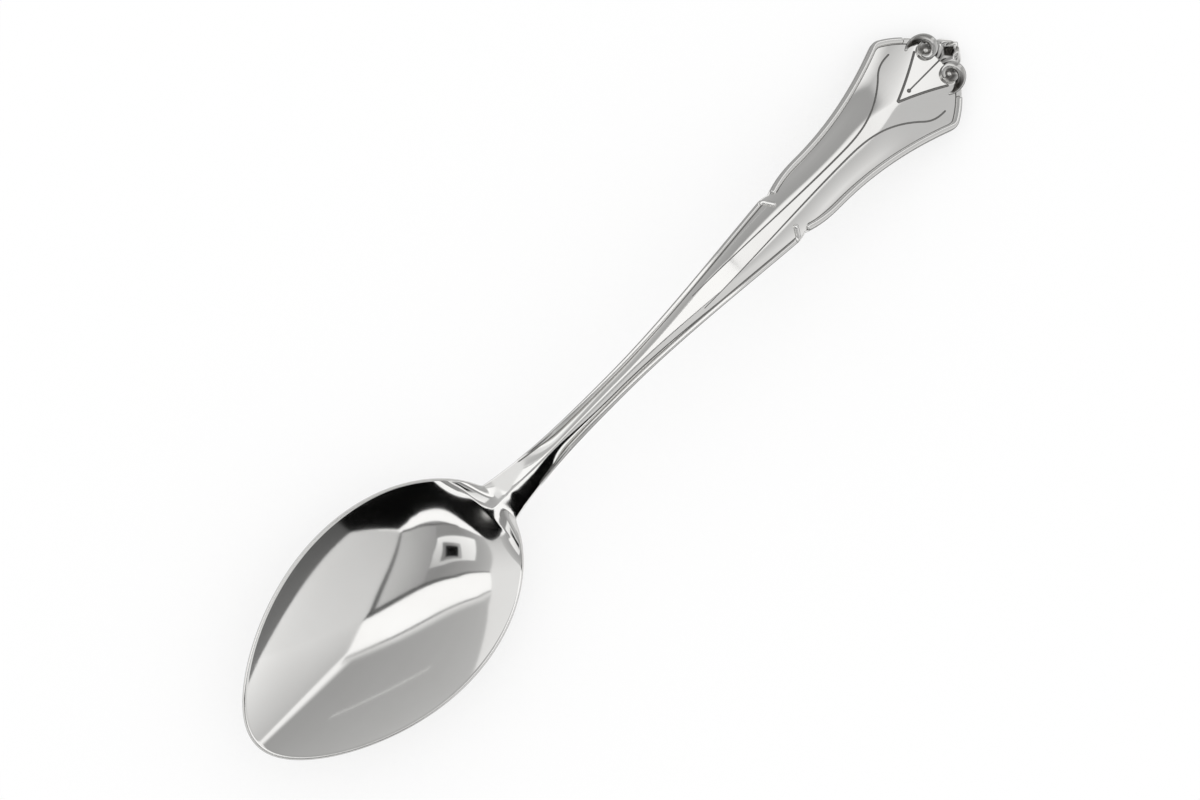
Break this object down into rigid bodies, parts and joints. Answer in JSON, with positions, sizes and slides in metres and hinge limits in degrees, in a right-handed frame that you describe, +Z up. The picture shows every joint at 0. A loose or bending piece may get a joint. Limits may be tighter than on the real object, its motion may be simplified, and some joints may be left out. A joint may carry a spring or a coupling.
{
  "type": "dessert spoon",
  "caption": "Dessert spoon with an egg-shaped bowl, a slim arched handle with raised edge threads and a notch at each side, and a scrolled crest.",
  "frame": {"origin": "on the table, under the middle of the spoon's length and width", "axes": "+X along the spoon from the bowl to the crest, +Y to the left seen from the bowl's tip, +Z up out of the bowl"},
  "size_m": [0.18, 0.0366, 0.0174],
  "materials": {
    "silver": "polished silver"
  },
  "bodies": {
    "root": {"bowl": "silver", "handle": "silver", "left_lower_thread": "silver", "right_lower_thread": "silver", "left_upper_thread": "silver", "right_upper_thread": "silver", "left_scroll": "silver", "right_scroll": "silver", "crest_bud": "silver"}
  },
  "joints": []
}
